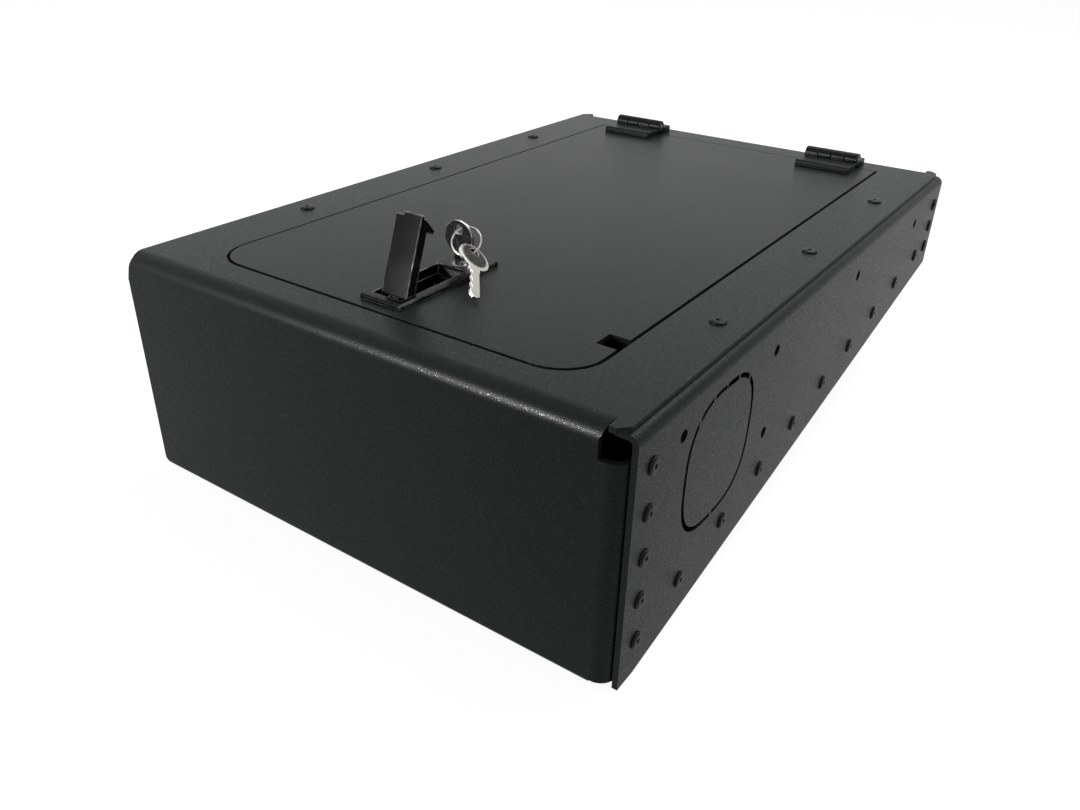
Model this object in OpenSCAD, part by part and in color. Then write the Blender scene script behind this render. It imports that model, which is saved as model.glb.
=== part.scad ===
// Vehicle security locker: a riveted sheet-steel box with a flush lid, a lift-lever key latch
// and two block hinges. Millimetres, +Z up, and the front wall faces -Y. The origin is the
// middle of the footprint, at the height that the box stands on. Inside the modules, y is
// counted from the front wall, and from_front() puts it in place.

/* [Body] */
// Overall width over both side panels
body_w = 347; // [330:1:420]
// Overall depth, front wall to rear wall
body_d = 509; // [500:1:620]
// Height of the top face
body_h = 149; // [146:1:190]
// Thickness of the coated sheet steel
sheet = 3.2; // [2.8:0.1:3.4]
// Outer radius of the wrapper's bends
bend_r = 10; // [9:0.5:11]
// Outer radius of the side panels' top bends
panel_bend_r = 5.8; // [5:0.2:7]
// Outer radius of the bend at the foot of the front wall
foot_bend_r = 3.6; // [3.5:0.1:6]
// Depth of the flat strip that the front stands on
foot_d = 20; // [18:1:24]
// Angle at which the underside rises towards the rear, degrees
floor_angle = 8.6; // [7:0.1:9]
// How far the top sheet's side edges stand in from the side faces
top_set_in = 4.8; // [4.2:0.1:5.2]
// Distance from the front wall's plane to the front edges of the side panels
panel_set_back = 5; // [3.4:0.1:6]
// Gap between the side panels' rear edges and the rear wall's plane
panel_rear_gap = 0.5; // [0.3:0.1:1]
// Depth of the front wall's side flanges
front_flange_d = 32; // [30:1:36]
// Depth of the rear wall's side flanges
rear_flange_d = 26; // [24:1:28]
// Depth of the lips under the front and rear walls
lip_d = 20; // [18:1:22]
// Height of the floor pan's side flanges
pan_flange_h = 34; // [30:1:38]
// Clearance between the floor pan and the walls' flanges
pan_gap = 1.5; // [1:0.5:3]

/* [Corner reliefs] */
// Distance from the side face to the end of the front top bend
relief_in = 17; // [16:0.5:18]
// Height of the relief cut, below the top face
relief_h = 18; // [16:0.5:20]
// Width of the notch's slanted edge
relief_slant = 3.1; // [2.5:0.1:3.5]
// Height of that slanted edge
relief_slant_h = 8; // [7:0.5:9]
// Distance from the wall's plane to the front edge of the top sheet's tabs
tab_back = 1.3; // [1:0.1:2]
// Length of the tabs' clipped corner
tab_clip = 5; // [4:0.5:5]
// Distance from the side face to the end of the bottom bend
foot_in = 14.7; // [14:0.1:16]
// Height of the side bends' lower ends above the underside
bend_low = 3; // [2:0.5:4]
// Height below the top face at which the front wall's left edge starts to slant
left_slant_h = 17; // [14:0.5:18]
// Width of the clipped corner at the foot of that edge
left_clip_w = 4; // [3.6:0.1:6]
// Height of that clipped corner
left_clip_h = 5; // [4:0.5:7]
// Reach of the left panel's front flange, from the side face
left_flange_in = 30; // [24:1:34]

/* [Lid] */
// Distance from the side faces to the lid's side edges
lid_side = 46.5; // [44.5:0.5:58]
// Distance from the front wall to the lid's front edge
lid_front = 28; // [28:1:34]
// Gap all round the lid
lid_gap = 2; // [1.5:0.1:2.5]
// Radius of the lid's two front corners
lid_corner_r = 24; // [18:1:30]
// Distance from the rear wall to the lid's rear edge
lid_rear = 33.5; // [33:0.5:38]
// Height of the lid's top face over the body's
lid_proud = 0.3; // [0.3:0.1:0.5]
// Width of the ledge under each side of the lid
ledge_w = 8; // [6:0.5:10]
// Depth of the cable notch in the lid's right edge
notch_in = 12; // [10:0.5:14]
// Width of the cable notch
notch_w = 13.5; // [12:0.5:16]
// Distance from the front wall to the middle of the notch
notch_y = 71.25; // [66:0.5:90]

/* [Rivets] */
// Diameter of a rivet's head
rivet_head_d = 9.6; // [8:0.2:11]
// Height of a rivet's head
rivet_head_h = 1.5; // [1:0.1:2]
// Diameter of a rivet's shank
rivet_shank_d = 4.8; // [4:0.1:5]
// Diameter of a rivet's mandrel hole
rivet_hole_d = 2.5; // [2:0.1:3]
// Clearance of a rivet in its hole, on the radius
rivet_play = 0.1; // [0.05:0.01:0.2]
// Distance from the front wall to its rivets
front_rivet_y = 20; // [18:0.5:22]
// Height of the lowest front rivet
front_rivet_z = 22; // [20:0.5:24]
// Spacing of the front rivets
front_rivet_pitch = 25.6; // [24:0.1:26]
// Number of front rivets on each side
front_rivet_count = 5; // [3:1:5]
// Distance from the front wall to the first floor rivet
floor_rivet_y = 64.2; // [60:0.5:70]
// Distance from the rear wall to the last floor rivet
floor_rivet_rear = 41.6; // [40:0.2:60]
// Number of floor rivets on each side
floor_rivet_count = 9; // [3:1:9]
// Distance from the sloped underside to the floor rivets
floor_rivet_up = 23.2; // [20:0.5:26]
// Distance from the rear wall to its rivets
rear_rivet_in = 13; // [12:0.5:14]
// Distance from the top face to the upper rear rivet
rear_rivet_down = 23.1; // [22:0.5:26]
// Spacing of the rear rivets
rear_rivet_pitch = 17.4; // [14:0.2:17.6]
// Number of rear rivets on each side
rear_rivet_count = 3; // [2:1:3]
// Distance from the side face to the top rivets
top_rivet_in = 21.5; // [20:0.5:24]
// Distance from the front wall to the first top rivet
top_rivet_front = 125.2; // [110:0.2:140]
// Distance from the rear wall to the last top rivet
top_rivet_rear = 116.8; // [100:0.2:130]
// Number of top rivets on each side
top_rivet_count = 3; // [2:1:4]

/* [Side holes] */
// Diameter of the fixing holes in the side panels
fix_hole_d = 7; // [5:0.5:9]
// Distance from the top face to the upper fixing holes
fix_down = 24.2; // [22:0.5:28]
// Distance from the front wall to the first front fixing hole
fix_front_y = 49.5; // [47:0.5:50]
// Spacing of the two upper front fixing holes
fix_front_span = 112.3; // [110:0.5:120]
// Distance from the top face to the lower fixing hole
fix_low_down = 76.6; // [70:0.5:80]
// Distance from the rear wall to the last rear fixing hole
fix_rear_in = 69.6; // [60:0.2:90]
// Spacing of the two upper rear fixing holes
fix_rear_span = 137.2; // [120:0.5:140]
// Size of the knockout, across and up
knock_size = 80; // [70:1:82]
// Distance from the front wall to the middle of the knockout
knock_y = 96; // [94:0.5:106]
// Distance from the top face to the middle of the knockout
knock_down = 56.6; // [54:0.5:60]
// Width of the knockout's slot
knock_slot = 2.6; // [1.5:0.1:3]
// Width of the bridges that hold the knockout
knock_bridge = 1.8; // [1.4:0.1:2.2]
// Spacing of the five upper bridges
knock_bridge_pitch = 14.5; // [12:0.5:15]
// Squareness of the knockout: 2 is a circle
knock_power = 2.8; // [2.2:0.1:4]

/* [Hinges] */
// Distance from the lid's side edges to the middles of the hinges
hinge_in = 36.5; // [35:0.5:60]
// Width of a hinge
hinge_w = 44; // [40:1:50]
// Radius of a hinge's knuckles
knuckle_r = 5.2; // [4.8:0.1:5.4]
// Height of the pin's axis above the top face
hinge_up = 6.5; // [6.3:0.1:7]
// Thickness of a hinge's leaves
leaf_t = 5.4; // [5:0.1:5.8]
// Reach of the front leaf, from the pin's axis
front_leaf_reach = 25.5; // [24:0.5:28]
// Reach of the rear leaf, from the pin's axis
rear_leaf_reach = 17.5; // [17:0.5:19]
// Clearance between one leaf and the other's knuckles
leaf_clear = 0.6; // [0.4:0.1:0.8]
// Gap between neighbouring knuckles
knuckle_gap = 0.3; // [0.2:0.1:0.5]
// Radius of the hinge pin
hinge_pin_r = 2; // [1.8:0.1:2.4]
// Running clearance of the hinge pin, on the radius
hinge_pin_play = 0.05; // [0.03:0.01:0.08]
// Diameter of a leaf's studs
stud_d = 5; // [4:0.5:5]
// Spacing of a leaf's two studs
stud_span = 24; // [22:1:28]
// Length of a stud below its leaf
stud_len = 12; // [11:0.5:14]
// Width across the flats of a stud's nut
nut_flats = 8; // [7:0.5:9]
// Height of a stud's nut
nut_h = 4; // [3:0.5:5]

/* [Latch] */
// Width of the latch's rim
rim_w = 30; // [29:0.5:34]
// Depth of the latch's rim
rim_d = 85; // [84:1:90]
// Height of the rim over the lid
rim_h = 3; // [2.5:0.1:3.5]
// Distance from the lid's front edge to the rim
rim_front = 6.5; // [6:0.5:12]
// Width of the lever's recess
recess_w = 20.4; // [20:0.2:21]
// Distance from the rim's front edge to the recess
recess_in = 5.5; // [5:0.5:6]
// Depth of the recess, front to back
recess_d = 54.6; // [54.2:0.2:56]
// Height of the recess from its floor to the rim's top
recess_h = 14.3; // [14:0.1:15]
// Thickness of the housing's walls
pan_wall = 2.2; // [2:0.1:2.3]
// Width of the latch's cut-out in the lid
cutout_w = 26; // [25.5:0.1:26.5]
// Distance from the recess's front edge to the lever's pivot
pivot_in = 8.6; // [8.2:0.1:9]
// Distance from the lever's outer face to its pivot
pivot_down = 3.4; // [3.2:0.1:3.6]
// Width of the lever
lever_w = 17.8; // [17:0.1:18.2]
// Length of the lever from its pivot to its free end
lever_len = 43.7; // [43:0.1:44]
// Depth of the lever's side skirts
skirt_d = 6.4; // [6:0.1:6.8]
// Thickness of the lever's skirts and of its outer face
lever_wall = 2; // [1.6:0.1:2.4]
// Depth of the claw at the lever's free end
claw_d = 13; // [12.6:0.1:13.2]
// Angle at which the lever stands raised, degrees
lever_raise = 70; // [66:1:74]
// Radius of the lever's pin
lever_pin_r = 1.2; // [1:0.1:1.3]
// Running clearance of the lever's pin, on the radius
lever_pin_play = 0.05; // [0.03:0.01:0.08]
// Width of the pawl
pawl_w = 6; // [5:0.5:6.5]
// Side clearance of the pawl
pawl_clear = 1; // [0.6:0.1:1.4]

/* [Lock] */
// Distance from the recess's rear edge to the lock's axis
lock_back = 7; // [6.8:0.1:8]
// Radius of the lock's barrel
barrel_r = 5.7; // [5.6:0.1:6]
// Radius of the lock's plug
plug_r = 4.4; // [4.2:0.1:4.6]
// Running clearance of the plug, on the radius
plug_play = 0.05; // [0.03:0.01:0.08]
// Length of the plug
plug_len = 22; // [21:0.5:24]
// Length of the cam from the lock's axis
cam_len = 15.1; // [14.8:0.1:15.4]
// Width of the cam
cam_w = 7; // [6:0.5:8]
// Thickness of the cam
cam_t = 2.8; // [2:0.1:3]
// Width across the flats of the lock's nut
lock_nut_flats = 13; // [12.6:0.1:13.4]

/* [Keys] */
// Radius of a key's round head
bow_r = 10; // [9:0.1:11]
// Thickness of a key
key_t = 1.8; // [1.5:0.1:2]
// Radius of the hole in a key's head
key_hole_r = 2.8; // [2.6:0.1:2.9]
// Distance from the middle of the head to that hole
key_hole_out = 4.6; // [4.2:0.1:5]
// Width of a key's blade
blade_w = 6.4; // [5.6:0.1:6.6]
// Length of a key from the middle of its head to its tip
key_len = 35.8; // [34:0.2:37]
// Height of the middle of the inserted key's head over the rim
bow_up = 15.8; // [15.4:0.1:18]
// Outer diameter of the split ring
ring_d = 18.2; // [17.8:0.1:20]
// Diameter of the split ring's wire
ring_wire = 1.3; // [1.1:0.1:1.4]

/* [Hidden] */
$fn = 64;

// Overrun of every cut
over = 1;
full_turn = 360;
slope = tan(floor_angle);
half_w = body_w / 2;
// Half the front wall's flat width, and the faces that its side flanges lie against
flat_half = half_w - sheet - bend_r;
panel_inner = half_w - sheet;
top_half = half_w - top_set_in;
flange_top = body_h - sheet;
relief_x = half_w - relief_in;
foot_half = half_w - foot_in;
// The lid's opening and what reaches under it
lid_half = half_w - lid_side;
hinge_x = lid_half - hinge_in;
opening_half = lid_half + lid_gap;
ledge_half = opening_half - ledge_w;
lid_back = body_d - lid_rear;
lid_top = body_h + lid_proud;
lid_low = lid_top - sheet;
// Hinge axis
axis_y = lid_back + lid_gap / 2;
axis_z = body_h + hinge_up;
knuckle_w = hinge_w / 4;
leaf_top = body_h + leaf_t;
leaf_edge = knuckle_r + leaf_clear;
leaf_chamfer = 1.2;
front_stud_reach = 15.5;
rear_stud_reach = 11.5;
stud_play = 0.15;
nut_play = 0.05;
// Clearance of pins, screws and studs that stay put, on the radius
fit = 0.02;
// Latch
rim_y = lid_front + rim_front;
rim_top = lid_top + rim_h;
rim_corner_r = 2;
rim_chamfer = 1;
recess_y = rim_y + recess_in;
recess_back = recess_y + recess_d;
recess_floor = rim_top - recess_h;
recess_half = recess_w / 2;
pan_half = recess_half + pan_wall;
pan_front = recess_y - pan_wall;
pan_low = recess_floor - pan_wall;
cutout_half = cutout_w / 2;
cutout_play = 0.5;
// The recess's rear wall leans in by this much from the lid down to the floor
back_lean = 5.6;
pivot_y = recess_y + pivot_in;
pivot_z = rim_top - pivot_down;
lever_half = lever_w / 2;
// Claw: distances back from the free end, and depths under the outer face
claw_end_d = 4;
claw_tip_back = 5.3;
claw_nose_back = 7.6;
claw_nose_d = claw_d - 1.3;
claw_root_back = 6.9;
channel_start = 16;
channel_end_back = 9;
pull_w = 12.3;
pull_h = 1.6;
pull_d = 2.4;
pull_ribs = 5;
pull_rib_h = 0.35;
cam_play = 0.5;
// Pawl, from the pivot: heights under it and reaches towards the front
finger_high = 5.8;
finger_low = 10;
finger_reach = 30;
elbow_front = 9;
elbow_back = 2;
pawl_head_len = 13;
pawl_head_t = 2;
pawl_slot_reach = 9.5;
pawl_screw_r = 1.5;
pawl_screw_head_r = 2.6;
pawl_screw_head_h = 1.4;
pawl_screw_s = 11;
catch_gap = 0.3;
catch_half = 30;
catch_set_back = 1;
// Lock
lock_y = recess_back + lock_back;
nut_top = lid_low;
lock_nut_h = 1.7;
barrel_low = nut_top - lock_nut_h;
cam_drop = 0.3;
cam_top = nut_top - lock_nut_h - cam_drop;
cam_low = cam_top - cam_t;
plug_proud = 0.2;
plug_top = rim_top + plug_proud;
plug_low = plug_top - plug_len;
keyway_play = 0.3;
wafer_t = 0.8;
wafer_count = 3;
wafer_pitch = 2.2;
wafer_play = 0.05;
clip_t = 1;
clip_r = 6.2;
clip_groove = 0.6;
clamp_half = 24;
clamp_front = 16;
clamp_d = 26;
clamp_t = 2;
clamp_gap = 0.3;
clamp_tab_h = 8;
clamp_screw_r = 1.5;
clamp_screw_head_r = 2.8;
clamp_screw_head_h = 1.6;
clamp_screw_bite = 1.6;
// Keys: where the split ring holds the spare key, and how both lie
ring_r = (ring_d - ring_wire) / 2;
ring_slack = 0.6;
ring_lean = 54;
ring_tip = -14.6;
ring_twist = 41.7;
bow_z = rim_top + bow_up;
first_hole = [0, lock_y, bow_z + key_hole_out];
ring_way = [cos(ring_tip) * sin(ring_lean), sin(ring_tip), -cos(ring_tip) * cos(ring_lean)];
ring_fall = (2 * ring_r + ring_slack) * ring_way;
spare_hole = first_hole + ring_fall;
spare_turn = [71, -36.9, -129.7];
blade_cut_depth_shares = [0, 0.16, 0.06, 0.2, 0.1, 0.22, 0.04];

function unit(v) = v / norm(v);
function low_z(y, inset) = inset / cos(floor_angle) + (y - foot_d) * slope;
function bend_half_angle(a, p, b) = acos(unit(a - p) * unit(b - p)) / 2;
function superellipse(size, power, steps) = [
    for (i = [0 : steps - 1])
        let (t = full_turn * i / steps, c = cos(t), s = sin(t))
        size / 2 * [sign(c) * pow(abs(c), 2 / power), sign(s) * pow(abs(s), 2 / power)]
];

module from_front() translate([0, -body_d / 2, 0]) children();
module both_sides() {
    children();
    mirror([1, 0, 0]) children();
}

// A profile drawn in y and z, carried across the width
module across(width) translate([-width / 2, 0, 0]) rotate([90, 0, 90]) linear_extrude(width) children();

// A polygon with true arcs at its corners
module rounded_outline(points, radii) {
    count = len(points);
    difference() {
        polygon(points);
        for (i = [0 : count - 1]) {
            if (radii[i] > 0) {
                a = points[(i + count - 1) % count];
                p = points[i];
                b = points[(i + 1) % count];
                half = bend_half_angle(a, p, b);
                reach = radii[i] / tan(half);
                inward = unit(unit(a - p) + unit(b - p));
                centre = p + inward * radii[i] / sin(half);
                difference() {
                    polygon([p - inward * over, p + unit(a - p) * reach, centre, p + unit(b - p) * reach]);
                    translate(centre) circle(r = radii[i]);
                }
            }
        }
    }
}

// Side view of the box, moved in by an inset
module box_profile(inset) {
    rear = body_d - inset;
    rounded_outline(
        [
            [inset, inset],
            [foot_d - inset * tan(floor_angle / 2), inset],
            [rear, low_z(rear, inset)],
            [rear, body_h - inset],
            [inset, body_h - inset]
        ],
        [foot_bend_r - inset, 0, 0, bend_r - inset, bend_r - inset]
    );
}

// Plan of the lid, or of its opening when grown by the gap
module lid_plan(grow) {
    half = lid_half + grow;
    front = lid_front - grow;
    back = lid_back + grow;
    rounded_outline(
        [[-half, front], [half, front], [half, back], [-half, back]],
        [lid_corner_r + grow, lid_corner_r + grow, 0, 0]
    );
}

// Blind rivet, its head at the origin along +Z, gripping two sheets
module rivet() {
    head_r = rivet_head_d / 2;
    hole_r = rivet_hole_d / 2;
    shank_r = rivet_shank_d / 2;
    grip = 2 * sheet;
    bulb_h = rivet_shank_d / 2;
    bulb_r = shank_r + rivet_hole_d / 4;
    rotate_extrude() polygon([
        [hole_r, rivet_head_h],
        [head_r * 0.55, rivet_head_h],
        [head_r * 0.85, rivet_head_h * 0.7],
        [head_r, rivet_head_h * 0.3],
        [head_r, 0],
        [shank_r, 0],
        [shank_r, -grip],
        [bulb_r, -grip],
        [bulb_r, -grip - bulb_h],
        [hole_r, -grip - bulb_h]
    ]);
}

module side_rivets(places)
    for (p = places) translate([half_w, p[0], p[1]]) rotate([0, 90, 0]) rivet();

front_rivet_places = [
    for (i = [0 : front_rivet_count - 1]) [front_rivet_y, front_rivet_z + i * front_rivet_pitch]
];
rear_rivet_places = [
    for (i = [0 : rear_rivet_count - 1])
        [body_d - rear_rivet_in, body_h - rear_rivet_down - i * rear_rivet_pitch]
];
floor_rivet_pitch = (body_d - floor_rivet_y - floor_rivet_rear) / (floor_rivet_count - 1);
floor_rivet_places = [
    for (i = [0 : floor_rivet_count - 1])
        let (y = floor_rivet_y + i * floor_rivet_pitch)
        [y, low_z(y, floor_rivet_up)]
];
top_rivet_pitch = (body_d - top_rivet_front - top_rivet_rear) / (top_rivet_count - 1);
top_rivet_places = [
    for (i = [0 : top_rivet_count - 1])
        [half_w - top_rivet_in, top_rivet_front + i * top_rivet_pitch]
];
fix_rear_y = body_d - fix_rear_in;
fix_hole_places = [
    [fix_front_y, body_h - fix_down],
    [fix_front_y + fix_front_span, body_h - fix_down],
    [fix_front_y + fix_front_span, body_h - fix_low_down],
    [fix_rear_y - fix_rear_span, body_h - fix_down],
    [fix_rear_y, body_h - fix_down]
];

// Holes through a side wall, for the rivets at the given places
module side_bores(places, diameter) {
    for (p = places)
        translate([panel_inner - sheet - over, p[0], p[1]])
            rotate([0, 90, 0]) cylinder(d = diameter, h = 2 * sheet + 2 * over);
}

module top_bores() {
    for (p = top_rivet_places)
        translate([p[0], p[1], flange_top - sheet - over])
            cylinder(d = rivet_shank_d + 2 * rivet_play, h = 2 * sheet + 2 * over);
}

// A wall's side bend and the flange behind it, on the right and facing the front
module wall_flange(low, high, depth) {
    translate([flat_half, bend_r, low]) rotate([0, 0, -90])
        rotate_extrude(angle = 90) translate([bend_r - sheet, 0]) square([sheet, high - low]);
    translate([panel_inner - sheet, bend_r, low]) cube([sheet, depth - bend_r, high - low]);
}

// Clearance cut at one end of the top bend, seen from the front
module relief_cut() {
    low = body_h - relief_h;
    out = half_w + over;
    inner = relief_x + relief_slant;
    translate([0, bend_r, 0]) rotate([90, 0, 0]) linear_extrude(bend_r + over)
        polygon([
            [relief_x, low],
            [out, low],
            [out, flange_top],
            [inner, flange_top],
            [inner, body_h + over],
            [relief_x, body_h - relief_slant_h]
        ]);
    translate([flat_half - over, bend_r - over, low]) cube([half_w, rear_flange_d, sheet]);
}

// Clipped corner and set-back edge of the top sheet's tab, in plan
module tab_cut() {
    translate([0, 0, body_h - relief_h]) linear_extrude(relief_h + over)
        polygon([
            [relief_x + relief_slant, -over],
            [relief_x + relief_slant, tab_back],
            [top_half - tab_clip, tab_back],
            [top_half + over, tab_back + tab_clip + over],
            [half_w + over, tab_back + tab_clip + over],
            [half_w + over, -over]
        ]);
}

// Holes for one leaf's studs
module stud_bores(y) {
    for (x = [-hinge_x, hinge_x], s = [-1, 1])
        translate([x + s * stud_span / 2, y, body_h - 2 * sheet])
            cylinder(d = stud_d + 2 * stud_play, h = 3 * sheet);
}

// The front wall's left end: flat out to the side face, with the top bend out to the top sheet's edge
module left_front_end() {
    intersection() {
        translate([-half_w, 0, 0]) rotate([90, 0, 90]) linear_extrude(half_w - flat_half + over)
            difference() {
                box_profile(0);
                box_profile(sheet);
            }
        translate([-body_w, -over, -over]) cube([body_w, bend_r + 2 * over, body_h + 2 * over]);
        rotate([90, 0, 0]) translate([0, 0, -body_d]) linear_extrude(body_d + over) polygon([
            [over - flat_half, 0],
            [left_clip_w - half_w, 0],
            [-half_w, left_clip_h],
            [-half_w, body_h - left_slant_h],
            [-top_half, body_h - sheet],
            [-top_half, body_h],
            [over - flat_half, body_h]
        ]);
    }
}

// Cuts that each end of a wall takes, at the right of the front wall
module end_cuts() {
    relief_cut();
    tab_cut();
}

module wrapper_sheet() {
    rear_low = low_z(body_d, bend_low);
    high = body_h - relief_h;
    color("#232524") from_front() difference() {
        union() {
            across(2 * flat_half) difference() {
                box_profile(0);
                box_profile(sheet);
            }
            left_front_end();
            wall_flange(bend_low, high, front_flange_d);
            both_sides() {
                translate([flat_half, bend_r, flange_top])
                    cube([top_half - flat_half, body_d - bend_r - tab_back, sheet]);
                translate([0, body_d, 0]) mirror([0, 1, 0]) wall_flange(rear_low, high, rear_flange_d);
            }
            translate([flat_half, tab_back, flange_top]) cube([top_half - flat_half, bend_r, sheet]);
        }
        translate([0, 0, flange_top - over]) linear_extrude(sheet + 2 * over) lid_plan(lid_gap);
        across(body_w) polygon([
            [lip_d, -over],
            [body_d - lip_d, -over],
            [body_d - lip_d, low_z(body_d - lip_d, sheet + over)],
            [lip_d, sheet + over]
        ]);
        end_cuts();
        translate([foot_half, -over, -over]) cube([half_w, lip_d + 2 * over, bend_low + over]);
        side_bores(front_rivet_places, rivet_shank_d + 2 * rivet_play);
        both_sides() {
            translate([0, body_d, 0]) mirror([0, 1, 0]) end_cuts();
            translate([foot_half, body_d - lip_d - over, -over])
                cube([half_w, lip_d + 2 * over, rear_low + over]);
            side_bores(rear_rivet_places, rivet_shank_d + 2 * rivet_play);
            top_bores();
        }
        stud_bores(axis_y + rear_stud_reach);
    }
}

// Side wall with its top bend and flange, drawn at the right: the flange beside the front wall's
// side bend reaches forward to flange_front
module side_wall(front, flange_front) {
    rear = body_d - panel_rear_gap;
    bend_z = flange_top - panel_bend_r;
    inner = panel_bend_r - sheet;
    front_part = relief_x + relief_slant + lid_gap;
    wide_front = bend_r + lid_gap;
    difference() {
        union() {
            translate([panel_inner, 0, 0]) rotate([90, 0, 90]) linear_extrude(sheet) polygon([
                [front, 0],
                [foot_d, 0],
                [rear, low_z(rear, 0)],
                [rear, bend_z],
                [front, bend_z]
            ]);
            translate([half_w - panel_bend_r, flange_front, bend_z]) rotate([-90, 0, 0])
                rotate([0, 0, -90]) rotate_extrude(angle = 90)
                    translate([inner, 0]) square([sheet, rear - flange_front]);
            translate([front_part, flange_front, flange_top - sheet])
                cube([half_w - panel_bend_r - front_part, rear - flange_front, sheet]);
            translate([ledge_half, wide_front, flange_top - sheet])
                cube([front_part - ledge_half, body_d - 2 * wide_front, sheet]);
        }
        side_bores(rear_rivet_places, rivet_shank_d + 2 * rivet_play);
        side_bores(floor_rivet_places, rivet_shank_d + 2 * rivet_play);
        side_bores(fix_hole_places, fix_hole_d);
        top_bores();
        translate([ledge_half - over, notch_y - notch_w / 2 - lid_gap / 2, flange_top - sheet - over])
            cube([ledge_w + 2 * lid_gap, notch_w + lid_gap, sheet + 2 * over]);
        translate([panel_inner - over, knock_y, body_h - knock_down])
            rotate([90, 0, 90]) linear_extrude(sheet + 2 * over) knockout_slot();
    }
}

// Bend and flange at the left panel's front, behind the front wall, drawn at the right
module left_panel_flange() {
    low = 2 * sheet + pan_gap;
    height = body_h - relief_h - bend_low - low;
    translate([half_w - panel_bend_r, sheet + panel_bend_r, low]) rotate([0, 0, -90])
        rotate_extrude(angle = 90) translate([panel_bend_r - sheet, 0]) square([sheet, height]);
    translate([half_w - left_flange_in, sheet, low])
        cube([left_flange_in - panel_bend_r, sheet, height]);
}

module knockout_slot() {
    difference() {
        polygon(superellipse(knock_size, knock_power, 72));
        polygon(superellipse(knock_size - 2 * knock_slot, knock_power, 72));
        for (i = [-2 : 2])
            translate([i * knock_bridge_pitch - knock_bridge / 2, 0]) square([knock_bridge, knock_size]);
        translate([-knock_bridge / 2, -knock_size]) square([knock_bridge, knock_size]);
    }
}

module side_panel_right() color("#232524") from_front() difference() {
    side_wall(panel_set_back, panel_set_back);
    side_bores(front_rivet_places, rivet_shank_d + 2 * rivet_play);
}

module side_panel_left() color("#232524") from_front() mirror([1, 0, 0]) {
    side_wall(sheet + panel_bend_r, bend_r + lid_gap);
    left_panel_flange();
}

module floor_pan() {
    front = foot_bend_r + pan_gap;
    rear = body_d - 2 * sheet;
    flange_front = front_flange_d + pan_gap;
    flange_rear = body_d - rear_flange_d - pan_gap;
    bend_y = foot_d - sheet * tan(floor_angle / 2);
    color("#2a2c2b") from_front() difference() {
        union() {
            across(2 * (foot_half - pan_gap)) polygon([
                [front, sheet],
                [bend_y, sheet],
                [rear, low_z(rear, sheet)],
                [rear, low_z(rear, 2 * sheet)],
                [foot_d - 2 * sheet * tan(floor_angle / 2), 2 * sheet],
                [front, 2 * sheet]
            ]);
            across(2 * panel_inner) polygon([
                [flange_front, low_z(flange_front, sheet)],
                [flange_rear, low_z(flange_rear, sheet)],
                [flange_rear, low_z(flange_rear, 2 * sheet)],
                [flange_front, low_z(flange_front, 2 * sheet)]
            ]);
            both_sides() translate([panel_inner - sheet, 0, 0]) rotate([90, 0, 90]) linear_extrude(sheet)
                polygon([
                    [flange_front, low_z(flange_front, sheet)],
                    [flange_rear, low_z(flange_rear, sheet)],
                    [flange_rear, low_z(flange_rear, pan_flange_h)],
                    [flange_front, low_z(flange_front, pan_flange_h)]
                ]);
        }
        both_sides() side_bores(floor_rivet_places, rivet_shank_d + 2 * rivet_play);
    }
}

module front_rivets() color("#1d1f1e") from_front() side_rivets(front_rivet_places);
module rear_rivets() color("#1d1f1e") from_front() both_sides() side_rivets(rear_rivet_places);
module floor_rivets() color("#1d1f1e") from_front() both_sides() side_rivets(floor_rivet_places);
module top_rivets() color("#1d1f1e") from_front() both_sides()
    for (p = top_rivet_places) translate([p[0], p[1], body_h]) rivet();

// Plate under the front strip of the top, which the pawl pulls up against
module catch_plate() {
    low = pivot_z - finger_high + catch_gap;
    front = bend_r + catch_set_back;
    back = lid_front - lid_gap - catch_set_back;
    color("#2a2c2b") from_front()
        translate([-catch_half, front, low]) cube([2 * catch_half, back - front, flange_top - low]);
}

// Hinge, drawn about its pin's axis: side +1 is the rear leaf, -1 the front leaf
module hinge_leaf(side, reach, stud_y, first) {
    foot = leaf_foot(side);
    difference() {
        union() {
            translate([-hinge_w / 2, side > 0 ? leaf_edge : -reach, foot])
                cube([hinge_w, reach - leaf_edge, leaf_top - axis_z - foot]);
            for (i = [first : 2 : 3]) {
                left = -hinge_w / 2 + i * knuckle_w + knuckle_gap / 2;
                width = knuckle_w - knuckle_gap;
                translate([left, 0, 0]) rotate([0, 90, 0]) cylinder(r = knuckle_r, h = width);
                translate([left, side > 0 ? 0 : -leaf_edge, -knuckle_r])
                    cube([width, leaf_edge, knuckle_r + leaf_top - axis_z]);
            }
            for (s = [-1, 1])
                translate([s * stud_span / 2, side * stud_y, foot - stud_len])
                    cylinder(d = stud_d, h = stud_len);
        }
        rotate([0, 90, 0]) cylinder(r = hinge_pin_r + hinge_pin_play, h = hinge_w + over, center = true);
        translate([0, side * reach, leaf_top - axis_z]) rotate([45, 0, 0])
            cube([hinge_w + over, leaf_chamfer * sqrt(2), leaf_chamfer * sqrt(2)], center = true);
    }
}
function leaf_foot(side) = (side > 0 ? body_h : lid_top) - axis_z;

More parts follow.
